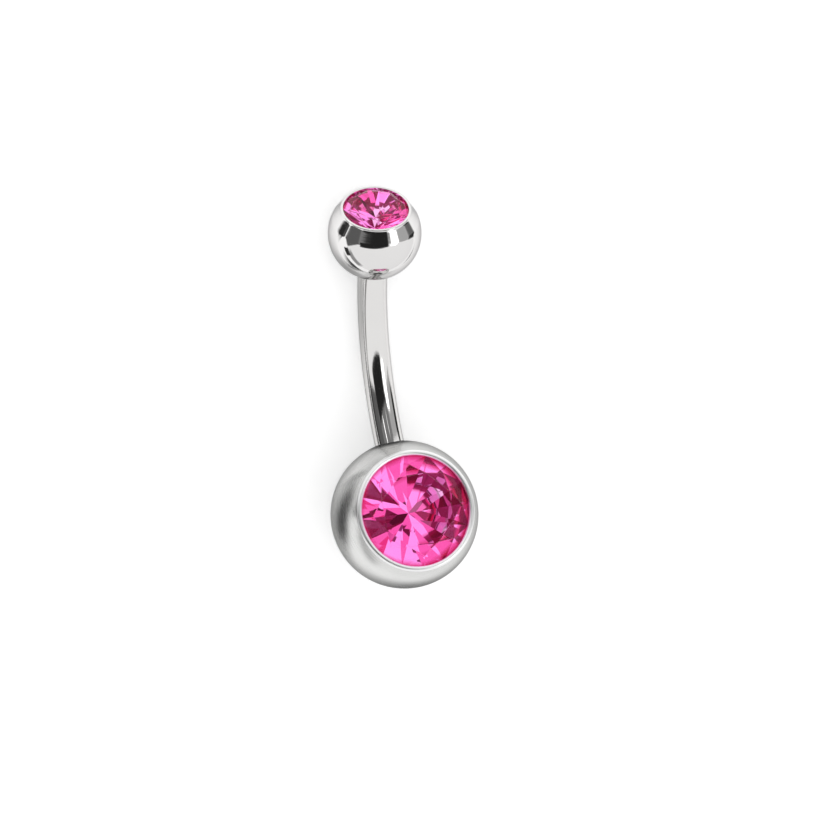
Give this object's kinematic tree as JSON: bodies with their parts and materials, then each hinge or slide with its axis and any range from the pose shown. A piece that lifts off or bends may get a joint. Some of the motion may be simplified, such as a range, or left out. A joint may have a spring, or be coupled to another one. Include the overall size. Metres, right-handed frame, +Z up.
{
  "type": "navel ring",
  "caption": "Curved steel barbell for a navel piercing, with a large fixed jewelled ball at one end and a small jewelled ball that unscrews at the other.",
  "frame": {"origin": "on the surface that the piece lies on, under the middle of its box", "axes": "+X along the piece from the large lower ball to the small upper ball, +Z up, the bow of the bar hanging down between the balls"},
  "size_m": [0.022, 0.008, 0.0076],
  "materials": {
    "polished_steel": "mirror-polished surgical steel",
    "satin_steel": "satin surgical steel with a polished lip",
    "pink_crystal": "faceted pink crystal with a mirror backing"
  },
  "bodies": {
    "bar": {"curved_bar": "polished_steel", "lower_ball": "satin_steel", "lower_stone": "pink_crystal"},
    "screw_ball": {"upper_ball": "polished_steel", "upper_stone": "pink_crystal"}
  },
  "joints": [
    {"name": "upper_ball_unscrew", "type": "slide", "parent": "bar", "child": "screw_ball", "axis": [0.9412, 0, 0.338], "range_m": [0, 0.004]}
  ]
}
